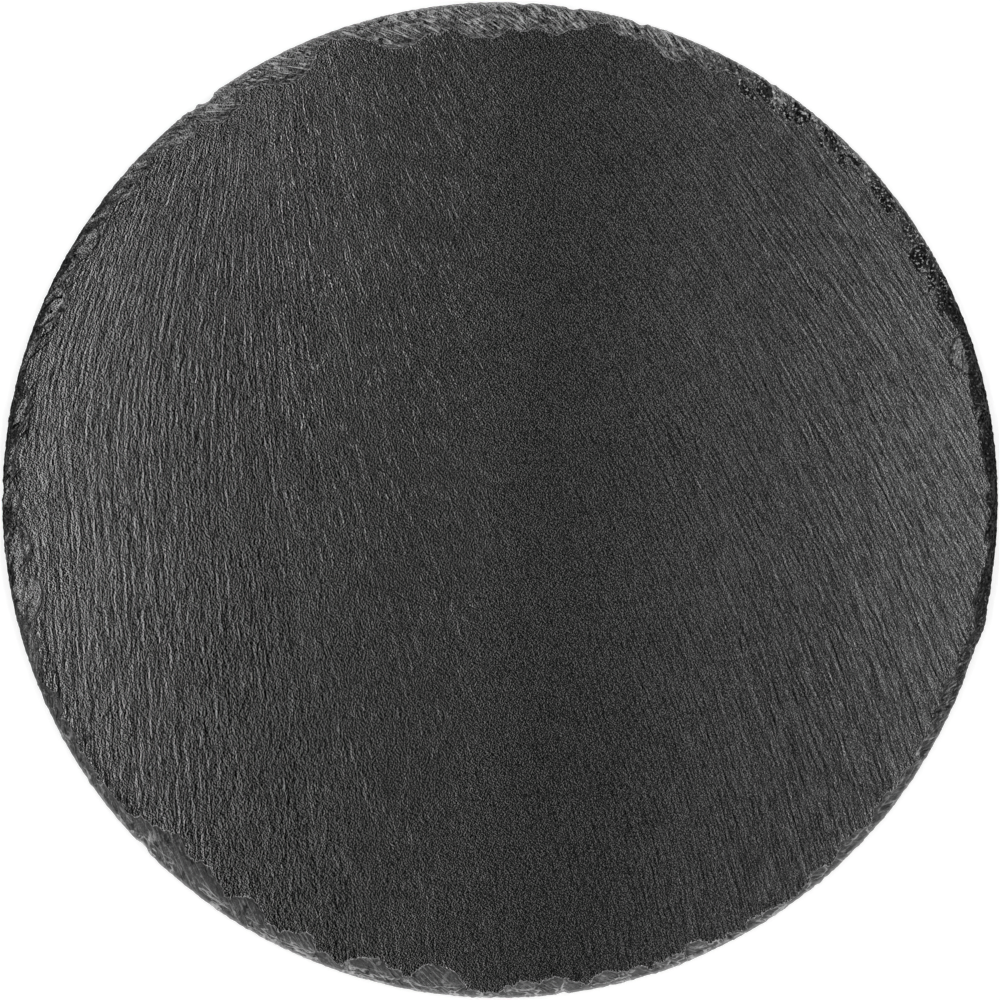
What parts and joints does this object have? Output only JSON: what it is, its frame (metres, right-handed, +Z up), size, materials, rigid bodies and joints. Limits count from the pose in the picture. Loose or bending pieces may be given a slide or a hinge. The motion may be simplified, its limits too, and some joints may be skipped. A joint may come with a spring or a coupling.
{
  "type": "slate serving board",
  "caption": "Round flat serving board of natural slate with a hand-dressed, flaked rim, standing on small stuck-on rubber feet.",
  "frame": {"origin": "on the plane that the feet stand on, under the middle of the round stone", "axes": "+Z up out of the serving face, +X to the right and +Y away from a person who stands in front of the board"},
  "size_m": [0.3, 0.3, 0.0077],
  "materials": {
    "slate": "riven natural slate, matt with a faint mineral sheen",
    "foot_rubber": "matt black moulded rubber",
    "adhesive": "thin pale adhesive film"
  },
  "bodies": {
    "root": {"slate_disc": "slate", "foot_front_left": "foot_rubber", "foot_front_right": "foot_rubber", "foot_back_left": "foot_rubber", "foot_back_right": "foot_rubber", "adhesive_front_left": "adhesive", "adhesive_front_right": "adhesive", "adhesive_back_left": "adhesive", "adhesive_back_right": "adhesive"}
  },
  "joints": []
}
